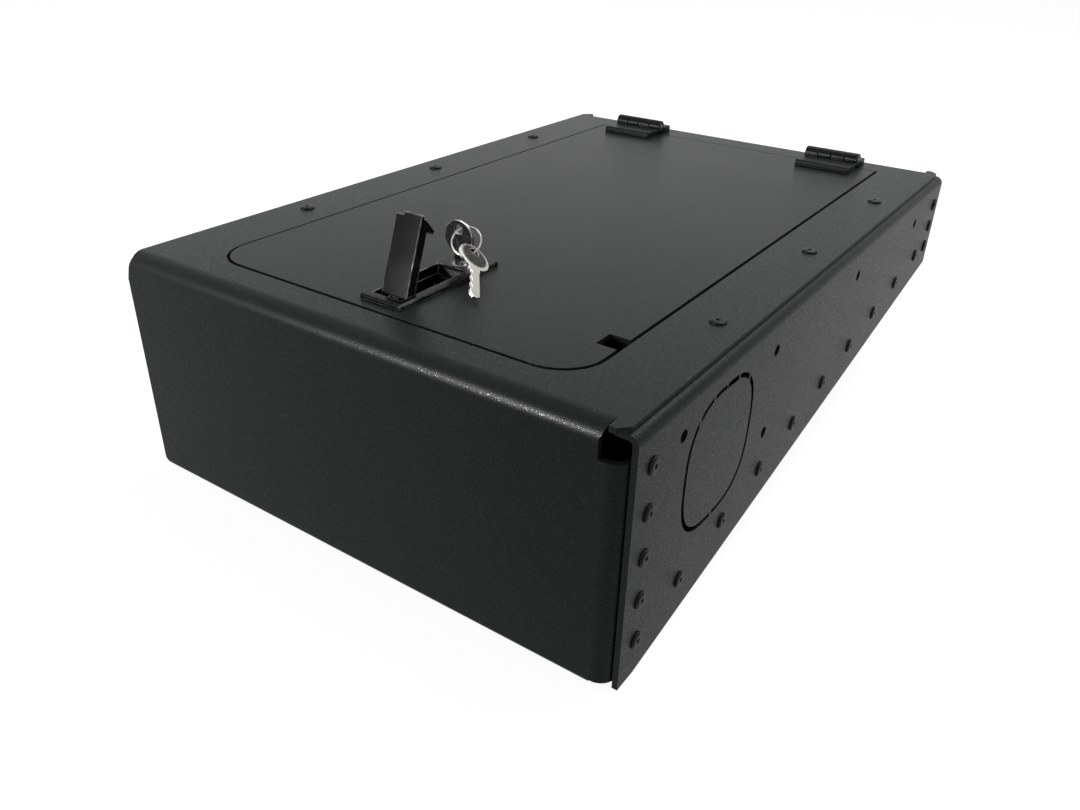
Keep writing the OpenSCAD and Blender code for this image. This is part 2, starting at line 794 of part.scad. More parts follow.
module at_hinge(side) from_front() translate([side * hinge_x, axis_y, axis_z]) children();
module hinge_left_body_leaf()
    color("#191b1a") at_hinge(-1) hinge_leaf(1, rear_leaf_reach, rear_stud_reach, 1);
module hinge_right_body_leaf()
    color("#191b1a") at_hinge(1) hinge_leaf(1, rear_leaf_reach, rear_stud_reach, 1);
module hinge_left_lid_leaf()
    color("#191b1a") at_hinge(-1) hinge_leaf(-1, front_leaf_reach, front_stud_reach, 0);
module hinge_right_lid_leaf()
    color("#191b1a") at_hinge(1) hinge_leaf(-1, front_leaf_reach, front_stud_reach, 0);
module hinge_pin() color("#b9bcbc") rotate([0, 90, 0])
    cylinder(r = hinge_pin_r, h = hinge_w + knuckle_gap, center = true);
module hinge_left_pin() at_hinge(-1) hinge_pin();
module hinge_right_pin() at_hinge(1) hinge_pin();

// Hexagon nut that hangs below the origin
module stud_nut() translate([0, 0, -nut_h]) difference() {
    cylinder(d = nut_flats / cos(30), h = nut_h, $fn = 6);
    translate([0, 0, -over]) cylinder(d = stud_d + 2 * nut_play, h = nut_h + 2 * over);
}
module leaf_nuts(y, z) color("#9b9e9e") from_front()
    for (x = [-hinge_x, hinge_x], s = [-1, 1])
        translate([x + s * stud_span / 2, y, z]) stud_nut();
module body_hinge_nuts() leaf_nuts(axis_y + rear_stud_reach, flange_top);
module lid_hinge_nuts() leaf_nuts(axis_y - front_stud_reach, lid_low);

module lid_panel() {
    color("#262827") from_front() difference() {
        translate([0, 0, lid_low]) linear_extrude(sheet) difference() {
            lid_plan(0);
            translate([lid_half - notch_in, notch_y - notch_w / 2]) square([notch_in + over, notch_w]);
            translate([-cutout_half, pan_front - cutout_play])
                square([cutout_w, lock_y + cutout_half - pan_front]);
        }
        stud_bores(axis_y - front_stud_reach);
    }
}

// Rim, recess pan and lock seat, cast in one piece
module latch_housing() {
    seat_half = cutout_half - cutout_play;
    seat_back = lock_y + cutout_half - 2 * cutout_play;
    nut_room_low = cam_low - clip_t - cam_play;
    color("#151716") from_front() difference() {
        union() {
            translate([0, rim_y, lid_top]) linear_extrude(rim_h) rounded_outline(
                [[-rim_w / 2, 0], [rim_w / 2, 0], [rim_w / 2, rim_d], [-rim_w / 2, rim_d]],
                [rim_corner_r, rim_corner_r, rim_corner_r, rim_corner_r]
            );
            translate([-seat_half, pan_front, lid_low])
                cube([2 * seat_half, seat_back - pan_front, sheet]);
            translate([-pan_half, pan_front, pan_low])
                cube([2 * pan_half, recess_back + pan_wall - pan_front, lid_low - pan_low]);
        }
        across(recess_w) polygon([
            [recess_y, recess_floor],
            [recess_back - back_lean, recess_floor],
            [recess_back, lid_low + sheet],
            [recess_back, rim_top + over],
            [recess_y, rim_top + over]
        ]);
        translate([-pawl_w / 2 - pawl_clear, pan_front - over, pan_low - over])
            cube([pawl_w + 2 * pawl_clear, pivot_y + pawl_slot_reach - pan_front, pan_wall + 2 * over]);
        translate([-pawl_w / 2 - pawl_clear, pan_front - over, recess_floor])
            cube([pawl_w + 2 * pawl_clear, pan_wall + 2 * over, lid_low - recess_floor]);
        translate([0, pivot_y, pivot_z]) rotate([0, 90, 0])
            cylinder(r = lever_pin_r + fit, h = 2 * seat_half + over, center = true);
        translate([0, lock_y, lid_low - over]) cylinder(r = barrel_r + fit, h = rim_h + sheet + 2 * over);
        intersection() {
            translate([0, lock_y, cam_low - cam_play])
                cylinder(r = cam_len + cam_play, h = cam_t + 2 * cam_play);
            translate([cam_w / 2 + cam_play - rim_w, recess_y, pan_low])
                cube([rim_w, rim_d, rim_top - pan_low]);
        }
        translate([-pan_half - over, lock_y - lock_nut_flats / 2 - cam_play, nut_room_low])
            cube([2 * pan_half + 2 * over, rim_d, lid_low - nut_room_low]);
        for (s = [-1, 1])
            translate([s * pan_half, clamp_screw_y(), clamp_screw_z()]) rotate([0, 90, 0])
                cylinder(r = clamp_screw_r + fit, h = 2 * clamp_screw_bite, center = true);
        rim_chamfers();
    }
}
function clamp_screw_y() = recess_y + clamp_front + clamp_d / 2;
function clamp_screw_z() = lid_low - clamp_t - clamp_tab_h / 2;

// Bevel along the rim's four top edges
module rim_chamfers() {
    size = rim_chamfer * sqrt(2);
    for (s = [-1, 1]) {
        translate([s * rim_w / 2, rim_y + rim_d / 2, rim_top]) rotate([0, 45, 0])
            cube([size, rim_d + over, size], center = true);
        translate([0, rim_y + (1 + s) * rim_d / 2, rim_top]) rotate([45, 0, 0])
            cube([rim_w + over, size, size], center = true);
    }
}

// Two angle brackets that hold the housing down on the lid, from below
module clamp_brackets() {
    near = pan_half + clamp_gap;
    front = recess_y + clamp_front;
    color("#8f9292") from_front() both_sides() difference() {
        union() {
            translate([near, front, lid_low - clamp_t]) cube([clamp_half - near, clamp_d, clamp_t]);
            translate([near, front, lid_low - clamp_t - clamp_tab_h]) cube([clamp_t, clamp_d, clamp_tab_h]);
        }
        translate([near - over, clamp_screw_y(), clamp_screw_z()]) rotate([0, 90, 0])
            cylinder(r = clamp_screw_r + fit, h = clamp_t + 2 * over);
    }
}

module clamp_screws() {
    seat = pan_half + clamp_gap + clamp_t;
    color("#a9acac") from_front() both_sides()
        translate([seat, clamp_screw_y(), clamp_screw_z()]) rotate([0, 90, 0]) {
            cylinder(r = clamp_screw_head_r, h = clamp_screw_head_h);
            translate([0, 0, pan_half - clamp_screw_bite - seat])
                cylinder(r = clamp_screw_r, h = seat - pan_half + clamp_screw_bite);
        }
}

module lever_pin() color("#a9acac") from_front() translate([0, pivot_y, pivot_z])
    rotate([0, 90, 0]) cylinder(r = lever_pin_r, h = 2 * (cutout_half - cutout_play), center = true);

// What swings with the lever is drawn closed about the pivot, and stands raised
module raised() from_front() translate([0, pivot_y, pivot_z]) rotate([lever_raise, 0, 0]) children();

module latch_lever() {
    face = pivot_down;
    under = face - skirt_d;
    color("#141615") raised() difference() {
        union() {
            across(lever_w) polygon([
                [0, face],
                [lever_len, face],
                [lever_len, face - claw_end_d],
                [lever_len - claw_tip_back, face - claw_d],
                [lever_len - claw_nose_back, face - claw_nose_d],
                [lever_len - claw_root_back, under],
                [0, under]
            ]);
            rotate([0, 90, 0]) cylinder(r = pivot_down, h = lever_w, center = true);
            translate([lever_half - pull_w, lever_len - over, face - pull_d])
                cube([pull_w, pull_h + over, pull_d]);
            for (i = [0 : pull_ribs - 1])
                translate([lever_half - pull_w + (i + 0.3) * pull_w / pull_ribs, lever_len - over, face - pull_d])
                    cube([pull_w / pull_ribs / 2, pull_h + over + pull_rib_h, pull_d - pull_rib_h]);
        }
        translate([-lever_half + lever_wall, channel_start, under - over])
            cube([lever_w - 2 * lever_wall, lever_len - channel_end_back - channel_start,
                skirt_d - lever_wall + over]);
        translate([-pawl_w / 2, -2 * face, under - over])
            cube([pawl_w, channel_start + 2 * face + over, skirt_d - lever_wall + over]);
        translate([-pawl_w / 2, -2 * face, under - over])
            cube([pawl_w, 2 * face, 2 * face + skirt_d]);
        rotate([0, 90, 0]) cylinder(r = lever_pin_r + lever_pin_play, h = lever_w + over, center = true);
        translate([0, pawl_screw_s, 0]) cylinder(r = pawl_screw_r + fit, h = face - lever_wall / 2);
        cam_pocket();
    }
}

// Pocket in the claw's ramp that the lock's cam turns into
module cam_pocket() {
    pocket_low = cam_low - cam_play - pivot_z;
    pocket_back = lock_y - cam_len - cam_play - pivot_y;
    translate([-lever_half + lever_wall, pocket_back, pocket_low])
        cube([lever_w - 2 * lever_wall, rim_w, cam_t + 2 * cam_play]);
}

// Steel hook that swings with the lever and pulls the lid down
module latch_pawl() {
    head_top = pivot_down - lever_wall;
    color("#777a7a") raised() difference() {
        union() {
            across(pawl_w) polygon([
                [-elbow_back, 0],
                [elbow_back, 0],
                [-elbow_back, -finger_low],
                [-finger_reach, -finger_low],
                [-finger_reach, -finger_high],
                [-elbow_front, -finger_high]
            ]);
            rotate([0, 90, 0]) cylinder(r = pivot_down - lever_pin_play, h = pawl_w, center = true);
            translate([-pawl_w / 2, 0, head_top - pawl_head_t])
                cube([pawl_w, pawl_head_len + elbow_back, pawl_head_t]);
        }
        rotate([0, 90, 0]) cylinder(r = lever_pin_r + lever_pin_play, h = pawl_w + over, center = true);
        translate([0, pawl_screw_s, head_top - pawl_head_t - over])
            cylinder(r = pawl_screw_r + stud_play, h = pawl_head_t + 2 * over);
        translate([-pawl_w, -pivot_down, head_top]) cube([2 * pawl_w, finger_reach, pivot_down]);
    }
}

module pawl_screw() {
    head_low = pivot_down - lever_wall - pawl_head_t;
    color("#a9acac") raised() translate([0, pawl_screw_s, head_low]) {
        translate([0, 0, -pawl_screw_head_h]) cylinder(r = pawl_screw_head_r, h = pawl_screw_head_h);
        cylinder(r = pawl_screw_r, h = pawl_head_t + lever_wall / 2);
    }
}

// What turns with the key is drawn about the lock's axis
module at_lock() from_front() translate([0, lock_y, 0]) children();

module lock_barrel() color("#1c1e1d") at_lock() difference() {
    translate([0, 0, barrel_low]) cylinder(r = barrel_r, h = rim_top - barrel_low);
    translate([0, 0, barrel_low - over])
        cylinder(r = plug_r + plug_play, h = rim_top - barrel_low + 2 * over);
}

module lock_nut() color("#a9acac") at_lock() translate([0, 0, nut_top - lock_nut_h]) difference() {
    cylinder(d = lock_nut_flats / cos(30), h = lock_nut_h, $fn = 6);
    translate([0, 0, -over]) cylinder(r = barrel_r + nut_play, h = lock_nut_h + 2 * over);
}

module keyway(play) {
    width = blade_w + 2 * play;
    depth = key_t + 2 * play;
    translate([-width / 2, -depth / 2, plug_low - over]) cube([width, depth, plug_len + 2 * over]);
}

function wafer_z(i) = barrel_low + (i + 1) * wafer_pitch;

module lock_plug() color("#c3c5c4") at_lock() difference() {
    translate([0, 0, plug_low]) cylinder(r = plug_r, h = plug_len);
    keyway(keyway_play);
    for (i = [0 : wafer_count - 1])
        translate([-plug_r - over, -blade_w / 2, wafer_z(i) - wafer_t / 2 - wafer_play])
            cube([2 * plug_r + 2 * over, blade_w, wafer_t + 2 * wafer_play]);
    translate([0, 0, cam_low - clip_t]) difference() {
        cylinder(r = plug_r + over, h = clip_t);
        translate([0, 0, -over]) cylinder(r = plug_r - clip_groove, h = clip_t + 2 * over);
    }
}

// Thin plates that the key lines up inside the plug
module lock_wafers() color("#c9a552") at_lock() difference() {
    for (i = [0 : wafer_count - 1])
        translate([0, 0, wafer_z(i) - wafer_t / 2]) intersection() {
            cylinder(r = plug_r - wafer_play, h = wafer_t);
            translate([-plug_r, -blade_w / 2 + wafer_play, 0])
                cube([2 * plug_r, blade_w - 2 * wafer_play, wafer_t]);
        }
    keyway(keyway_play);
}

module lock_cam() color("#8f9292") at_lock() translate([0, 0, cam_low]) difference() {
    union() {
        cylinder(r = plug_r + pan_wall, h = cam_t);
        intersection() {
            cylinder(r = cam_len, h = cam_t);
            translate([-cam_len, -cam_w / 2, 0]) cube([cam_len, cam_w, cam_t]);
        }
    }
    translate([0, 0, -over]) cylinder(r = plug_r + nut_play, h = cam_t + 2 * over);
}

module cam_clip() color("#6f7272") at_lock() translate([0, 0, cam_low - clip_t]) difference() {
    cylinder(r = clip_r, h = clip_t);
    translate([0, 0, -over]) cylinder(r = plug_r - clip_groove + nut_play, h = clip_t + 2 * over);
    translate([-clip_r / 4, 0, -over]) cube([clip_r / 2, clip_r, clip_t + 2 * over]);
}

// Flat key: its head's middle is at the origin, and its blade points down
module key() {
    shoulder_w = blade_w * 1.15;
    cut_pitch = blade_w / 2;
    cuts = len(blade_cut_depth_shares);
    tip = blade_w / 3;
    rotate([90, 0, 0]) translate([0, 0, -key_t / 2]) linear_extrude(key_t) difference() {
        union() {
            circle(r = bow_r);
            translate([-shoulder_w / 2, -bow_r - blade_w / 2]) square([shoulder_w, blade_w]);
            polygon(concat(
                [[-blade_w / 2, -bow_r], [-blade_w / 2, tip - key_len], [-blade_w / 6, -key_len]],
                [[blade_w / 6, -key_len], [blade_w / 2, tip - key_len]],
                [
                    for (i = [0 : 2 * cuts - 1])
                        [
                            blade_w / 2 - blade_w * blade_cut_depth_shares[floor(i / 2)],
                            tip - key_len + (i + 1) * cut_pitch / 2
                        ]
                ],
                [[blade_w / 2, -bow_r]]
            ));
        }
        translate([0, key_hole_out]) circle(r = key_hole_r);
    }
}

module key_in_lock() color("#b4b6b5") at_lock() translate([0, 0, bow_z]) key();
module spare_key() color("#b4b6b5") from_front()
    translate(spare_hole) rotate(spare_turn) translate([0, 0, -key_hole_out]) key();

module split_ring() color("#c0c2c1") from_front()
    translate(first_hole + ring_fall / 2) rotate([ring_tip, -ring_lean, 0]) rotate([0, 0, ring_twist])
        rotate([90, 0, 0]) rotate_extrude() translate([ring_r, 0]) circle(d = ring_wire);

wrapper_sheet();
side_panel_left();
side_panel_right();
floor_pan();
catch_plate();
front_rivets();
rear_rivets();
floor_rivets();
top_rivets();
hinge_left_body_leaf();
hinge_right_body_leaf();
hinge_left_pin();
hinge_right_pin();
body_hinge_nuts();
lid_panel();
hinge_left_lid_leaf();
hinge_right_lid_leaf();
lid_hinge_nuts();
latch_housing();
clamp_brackets();
clamp_screws();
lever_pin();
lock_barrel();
lock_nut();
latch_lever();
latch_pawl();
pawl_screw();
lock_plug();
lock_wafers();
lock_cam();
cam_clip();
key_in_lock();
split_ring();
spare_key();
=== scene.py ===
import math
import bmesh
import bpy
import numpy as np
from mathutils import Matrix, Vector


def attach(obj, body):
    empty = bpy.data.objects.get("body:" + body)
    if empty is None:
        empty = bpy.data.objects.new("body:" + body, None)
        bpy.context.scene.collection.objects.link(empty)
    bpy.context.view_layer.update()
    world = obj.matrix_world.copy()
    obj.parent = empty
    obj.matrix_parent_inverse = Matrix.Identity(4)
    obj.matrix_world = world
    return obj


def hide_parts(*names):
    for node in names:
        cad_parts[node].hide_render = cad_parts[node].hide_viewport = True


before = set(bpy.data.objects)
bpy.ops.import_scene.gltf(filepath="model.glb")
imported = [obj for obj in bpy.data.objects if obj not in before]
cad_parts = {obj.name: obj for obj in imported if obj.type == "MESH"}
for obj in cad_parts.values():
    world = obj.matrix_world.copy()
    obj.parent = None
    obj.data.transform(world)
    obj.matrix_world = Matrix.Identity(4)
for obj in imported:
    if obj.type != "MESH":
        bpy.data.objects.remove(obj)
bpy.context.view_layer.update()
mm = 0.001


# Camera: stands to the right of the front wall and above the lid, with a 30 mm lens.
# Its place and angles come from the locker's corners, holes and rivets.
camera_place = Vector((317.0, -538.5, 342.0)) * mm
camera_azimuth = math.radians(33.843)
camera_elevation = math.radians(29.608)
camera_roll = math.radians(1.626)
camera_lens = 30.33
camera_sensor = 36
nearest_seen = 10 * mm

camera_data = bpy.data.cameras.new("camera")
camera_data.sensor_width = camera_sensor
camera_data.lens = camera_lens
camera_data.clip_start = nearest_seen
camera = bpy.data.objects.new("camera", camera_data)
bpy.context.scene.collection.objects.link(camera)
backward = Vector((
    math.sin(camera_azimuth) * math.cos(camera_elevation),
    -math.cos(camera_azimuth) * math.cos(camera_elevation),
    math.sin(camera_elevation),
))
level_right = Vector((0, 0, 1)).cross(backward).normalized()
level_up = backward.cross(level_right)
rightward = level_right * math.cos(camera_roll) + level_up * math.sin(camera_roll)
upward = backward.cross(rightward)
camera_turn = Matrix((rightward, upward, backward)).transposed().to_4x4()
camera.matrix_world = Matrix.Translation(camera_place) @ camera_turn
bpy.context.scene.camera = camera


# Floor and sky: a plain white floor under the locker and a white room round it, both white to the camera.
# In reflections the floor and the room's right side are dimmer, and the floor keeps a soft shadow.
pure_white = (1, 1, 1, 1)
floor_half = 60.0
floor_drop = 0.4 * mm
floor_grey = (0.22, 0.22, 0.22, 1)
floor_glow = 0.9
floor_reflected = 0.6
room_level = 0.35
room_reflected = 0.72
room_bright_from = -0.45
room_dim_from = -0.1


def add(tree, kind, inputs=None, **settings):
    """Adds one shader node, sets its settings, and links or sets its inputs by name or number."""
    node = tree.nodes.new(kind)
    for key, value in settings.items():
        setattr(node, key, value)
    for key, value in (inputs or {}).items():
        if isinstance(value, bpy.types.NodeSocket):
            tree.links.new(value, node.inputs[key])
        else:
            node.inputs[key].default_value = value
    return node


def combined(tree, operation, first, second, clamp=False):
    """The result of one math operation on two numbers or sockets."""
    return add(tree, "ShaderNodeMath", {0: first, 1: second}, operation=operation, use_clamp=clamp).outputs[0]


def remapped(tree, value, low, high, to_low=0.0, to_high=1.0):
    """Carries low..high to to_low..to_high along a straight line, and holds it at both ends."""
    inputs = {"Value": value, "From Min": low, "From Max": high, "To Min": to_low, "To Max": to_high}
    return add(tree, "ShaderNodeMapRange", inputs).outputs[0]


def blank_material(name):
    """An empty node material with its output node."""
    material = bpy.data.materials.new(name)
    material.use_nodes = True
    material.node_tree.nodes.clear()
    return material, material.node_tree, material.node_tree.nodes.new("ShaderNodeOutputMaterial")


floor_mesh = bpy.data.meshes.new("floor")
corner_signs = ((-1, -1), (1, -1), (1, 1), (-1, 1))
floor_corners = [(x * floor_half, y * floor_half, -floor_drop) for x, y in corner_signs]
floor_mesh.from_pydata(floor_corners, [], [(0, 1, 2, 3)])
floor = bpy.data.objects.new("floor", floor_mesh)
bpy.context.scene.collection.objects.link(floor)
floor_material, tree, out = blank_material("white_floor")
rays = add(tree, "ShaderNodeLightPath").outputs
seen = combined(tree, "MAXIMUM", rays["Is Camera Ray"], rays["Is Glossy Ray"])
seen = combined(tree, "MAXIMUM", seen, rays["Is Transmission Ray"])
glow_strength = remapped(tree, rays["Is Glossy Ray"], 0.0, 1.0, floor_glow, floor_reflected)
white = add(tree, "ShaderNodeBsdfDiffuse", {"Color": floor_grey})
glow = add(tree, "ShaderNodeEmission", {"Color": pure_white, "Strength": glow_strength})
lifted = add(tree, "ShaderNodeAddShader", {0: white.outputs[0], 1: glow.outputs[0]})
shown = add(tree, "ShaderNodeMixShader", {0: seen, 1: white.outputs[0], 2: lifted.outputs[0]})
tree.links.new(shown.outputs[0], out.inputs["Surface"])
floor_mesh.materials.append(floor_material)

world = bpy.data.worlds.new("white_room")
bpy.context.scene.world = world
world.use_nodes = True
tree = world.node_tree
tree.nodes.clear()
rays = add(tree, "ShaderNodeLightPath").outputs
seen = combined(tree, "MAXIMUM", rays["Is Camera Ray"], rays["Is Transmission Ray"])
plain_level = remapped(tree, seen, 0.0, 1.0, room_level, 1.0)
way = add(tree, "ShaderNodeSeparateXYZ", {0: add(tree, "ShaderNodeTexCoord").outputs["Generated"]})
mirror_level = remapped(tree, way.outputs["X"], room_bright_from, room_dim_from, 1.0, room_reflected)
level = add(tree, "ShaderNodeMix", {0: rays["Is Glossy Ray"], 2: plain_level, 3: mirror_level})
room = add(tree, "ShaderNodeBackground", {"Color": pure_white, "Strength": level.outputs[0]})
tree.links.new(room.outputs[0], add(tree, "ShaderNodeOutputWorld").inputs["Surface"])


# Lamps: softboxes overhead and at the right give the coated steel its soft gradients. At the front left, a
# fill lights its colour only, and a small lamp lights its gloss only and sparkles along the front bend.
aim = Vector((0, 0, 0.1))
lamps = {
    "overhead": {"place": (0.3, 0.9, 1.7), "size": 1.5, "power": 27, "colour": True, "gloss": True},
    "right_side": {"place": (2.1, -0.2, 1.0), "size": 1.1, "power": 3, "colour": True, "gloss": True},
    "front_fill": {"place": (-1.9, -1.9, 0.9), "size": 1.0, "power": 25, "colour": True, "gloss": False},
    "front_sparkle": {
        "place": (-0.98, -2.22, 0.62), "size": 0.16, "power": 88, "colour": False, "gloss": True,
    },
}
for name, given in lamps.items():
    lamp_data = bpy.data.lights.new(name, "AREA")
    lamp_data.size = given["size"]
    lamp_data.energy = given["power"]
    lamp = bpy.data.objects.new(name, lamp_data)
    lamp.location = given["place"]
    lamp.visible_diffuse = given["colour"]
    lamp.visible_glossy = given["gloss"]
    lamp.rotation_euler = (Vector(given["place"]) - aim).to_track_quat("Z", "Y").to_euler()
    bpy.context.scene.collection.objects.link(lamp)


# Folded steel: the wrapper is cut and bent from one sheet, and the side panels, floor pan, catch plate
# and lid are sheets of the same gauge. All are powder coated in fine-textured satin black.
coat_colour = (0.0134, 0.0161, 0.0151, 1)
coat_rubbed = (0.05, 0.054, 0.052, 1)
coat_roughness = 0.36
coat_specular = 0.08
coat_spread = 0.03
coat_flecks = 0.06
coat_glint = 0.13
glint_smooth = 0.16
grain_size = 0.75 * mm
grain_depth = 0.1 * mm
grain_detail = 2.0
peel_size = 5.0 * mm
peel_detail = 1.0
peel_share = 0.3
cloud_size = 90 * mm
cloud_detail = 3.0
cloud_darker = 0.86
cloud_lighter = 1.16
cloud_low = 0.3
cloud_high = 0.7
noise_roughness = 0.6
fleck_low = 0.56
fleck_high = 0.68
worn_width = 0.8 * mm
worn_patch = 9 * mm
worn_detail = 4.0
worn_amount = 0.6
worn_turn_low = 0.995
worn_turn_high = 0.94
worn_low = 0.35
worn_high = 0.65
worn_smooth = 0.1
edge_samples = 4
painted_reflection_core = 0.85
sheet_edge_round = 0.2 * mm
edge_segments = 3
smooth_angle = math.radians(32)
flat_angle = math.radians(0.5)
weld_distance = 0.002 * mm
flat_weight = 100


def group(name, takes, gives):
    """A shader node group with named inputs (name, kind, value) and outputs (name, kind)."""
    made = bpy.data.node_groups.new(name, "ShaderNodeTree")
    for label, kind, value in takes:
        socket = made.interface.new_socket(label, in_out="INPUT", socket_type=kind)
        if value is not None:
            socket.default_value = value
    for label, kind in gives:
        made.interface.new_socket(label, in_out="OUTPUT", socket_type=kind)
    return made, made.nodes.new("NodeGroupInput"), made.nodes.new("NodeGroupOutput")


def noise(tree, place, size, detail, **roughness):
    """Cloud noise whose features are about size across: scale = 1 / size."""
    count = combined(tree, "DIVIDE", 1.0, size)
    inputs = {"Vector": place, "Scale": count, "Detail": detail, **roughness}
    return add(tree, "ShaderNodeTexNoise", inputs).outputs[0]


def make_grain_group():
    """Height = fine grains plus slower orange peel; Cloud and Fleck vary the tone."""
    number = "NodeSocketFloat"
    made, takes, gives = group(
        "coat_grain",
        [("Vector", "NodeSocketVector", None), ("Grain Size", number, grain_size),
         ("Peel Size", number, peel_size), ("Cloud Size", number, cloud_size)],
        [("Height", number), ("Cloud", number), ("Fleck", number)],
    )
    place = takes.outputs["Vector"]
    grain = noise(made, place, takes.outputs["Grain Size"], grain_detail, Roughness=noise_roughness)
    peel = noise(made, place, takes.outputs["Peel Size"], peel_detail, Roughness=noise_roughness)
    cloud = noise(made, place, takes.outputs["Cloud Size"], cloud_detail, Roughness=noise_roughness)
    height = combined(made, "ADD", grain, combined(made, "MULTIPLY", peel, peel_share))
    made.links.new(height, gives.inputs["Height"])
    made.links.new(cloud, gives.inputs["Cloud"])
    made.links.new(remapped(made, grain, fleck_low, fleck_high), gives.inputs["Fleck"])
    return made


def make_rubbed_group():
    """Mask = how far the rounded normal turns from the true one, broken up by noise: high on edges."""
    number = "NodeSocketFloat"
    made, takes, gives = group(
        "rubbed_edges",
        [("Vector", "NodeSocketVector", None), ("Width", number, worn_width),
         ("Patch Size", number, worn_patch), ("Amount", number, worn_amount)],
        [("Mask", number)],
    )
    rounded = add(made, "ShaderNodeBevel", {"Radius": takes.outputs["Width"]}, samples=edge_samples)
    plain = add(made, "ShaderNodeNewGeometry").outputs["Normal"]
    along = add(made, "ShaderNodeVectorMath", {0: rounded.outputs[0], 1: plain}, operation="DOT_PRODUCT")
    edges = remapped(made, along.outputs["Value"], worn_turn_low, worn_turn_high)
    patches = noise(made, takes.outputs["Vector"], takes.outputs["Patch Size"], worn_detail)
    mask = combined(made, "MULTIPLY", edges, remapped(made, patches, worn_low, worn_high))
    scaled = combined(made, "MULTIPLY", mask, takes.outputs["Amount"])
    made.links.new(scaled, gives.inputs["Mask"])
    return made


grain_group = make_grain_group()
rubbed_group = make_rubbed_group()


def mixed(tree, share, first, second):
    """A colour share of the way from the first to the second."""
    return add(tree, "ShaderNodeMix", {0: share, 6: first, 7: second}, data_type="RGBA").outputs[2]


def coated(name, colour, rubbed, roughness, depth, size, metallic=0.0, specular=0.5, spread=0.12,
           wear=worn_amount, flecks=0.25, glint=0.0, painted_reflection=None):
    """A coated or plated finish: a base tone with clouds and flecks, worn edges, and a grain bump.

    Glint makes the flecks shinier and smoother than the rest: shine = specular + glint * fleck.
    Painted reflection is a place, a radius and a colour for a dark patch of painted dark reflection.
    """
    material, tree, out = blank_material(name)
    place = add(tree, "ShaderNodeTexCoord").outputs["Object"]
    grain = add(tree, "ShaderNodeGroup", node_tree=grain_group)
    tree.links.new(place, grain.inputs["Vector"])
    grain.inputs["Grain Size"].default_value = size
    grain.inputs["Peel Size"].default_value = size * peel_size / grain_size
    cloud, fleck = grain.outputs["Cloud"], grain.outputs["Fleck"]
    edge = add(tree, "ShaderNodeGroup", node_tree=rubbed_group)
    tree.links.new(place, edge.inputs["Vector"])
    edge.inputs["Amount"].default_value = wear
    darker = tuple(c * cloud_darker for c in colour[:3]) + (1,)
    lighter = tuple(c * cloud_lighter for c in colour[:3]) + (1,)
    tone = mixed(tree, cloud, darker, lighter)
    # A dark patch round a place: painted dark reflection.
    if painted_reflection:
        centre, reach, dark = painted_reflection
        away = add(tree, "ShaderNodeVectorMath", {0: place, 1: centre}, operation="DISTANCE")
        near = remapped(tree, away.outputs["Value"], reach, painted_reflection_core * reach)
        tone = mixed(tree, near, tone, dark)
    tone = mixed(tree, combined(tree, "MULTIPLY", fleck, flecks), tone, rubbed)
    tone = mixed(tree, edge.outputs["Mask"], tone, rubbed)
    rough = remapped(tree, cloud, cloud_low, cloud_high, roughness - spread / 2, roughness + spread / 2)
    smoother = combined(tree, "MULTIPLY", edge.outputs["Mask"], -worn_smooth)
    rough = combined(tree, "ADD", rough, smoother, clamp=True)
    shine = specular
    if glint:
        shine = remapped(tree, fleck, 0.0, 1.0, specular, specular + glint)
        smoother = combined(tree, "MULTIPLY", fleck, -glint_smooth)
        rough = combined(tree, "ADD", rough, smoother, clamp=True)
    bump = add(tree, "ShaderNodeBump", {
        "Height": grain.outputs["Height"], "Distance": depth, "Strength": 1.0,
    })
    shader = add(tree, "ShaderNodeBsdfPrincipled", {
        "Base Color": tone, "Roughness": rough, "Metallic": metallic,
        "Specular IOR Level": shine, "Normal": bump.outputs[0],
    })
    tree.links.new(shader.outputs[0], out.inputs["Surface"])
    return material


def dressed(node, body, material, round_by, clamp=False):
    """Copy of a node with its doubles merged, its coplanar faces joined and its sharp edges rounded."""
    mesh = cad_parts[node].data.copy()
    mesh.name = node + "_finished"
    shape = bmesh.new()
    shape.from_mesh(mesh)
    bmesh.ops.remove_doubles(shape, verts=shape.verts, dist=weld_distance)
    bmesh.ops.dissolve_limit(shape, angle_limit=flat_angle, verts=shape.verts, edges=shape.edges)
    shape.to_mesh(mesh)
    shape.free()
    mesh.materials.clear()
    mesh.materials.append(material)
    mesh.polygons.foreach_set("use_smooth", np.ones(len(mesh.polygons), dtype=bool))
    piece = bpy.data.objects.new(mesh.name, mesh)
    bpy.context.scene.collection.objects.link(piece)
    rounding = piece.modifiers.new("rounded_edges", "BEVEL")
    rounding.width = round_by
    rounding.segments = edge_segments
    rounding.limit_method = "ANGLE"
    rounding.angle_limit = smooth_angle
    rounding.miter_outer = "MITER_ARC"
    rounding.use_clamp_overlap = clamp
    flats = piece.modifiers.new("flat_faces_lead", "WEIGHTED_NORMAL")
    flats.weight = flat_weight
    flats.keep_sharp = False
    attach(piece, body)
    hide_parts(node)


powder_coat = coated(
    "satin_powder_coat", coat_colour, coat_rubbed, coat_roughness, grain_depth, grain_size,
    specular=coat_specular, spread=coat_spread, flecks=coat_flecks, glint=coat_glint,
)
for node in ("wrapper_sheet", "side_panel_left", "side_panel_right", "floor_pan", "catch_plate"):
    dressed(node, "root", powder_coat, sheet_edge_round, clamp=True)
dressed("lid_panel", "lid", powder_coat, sheet_edge_round, clamp=True)


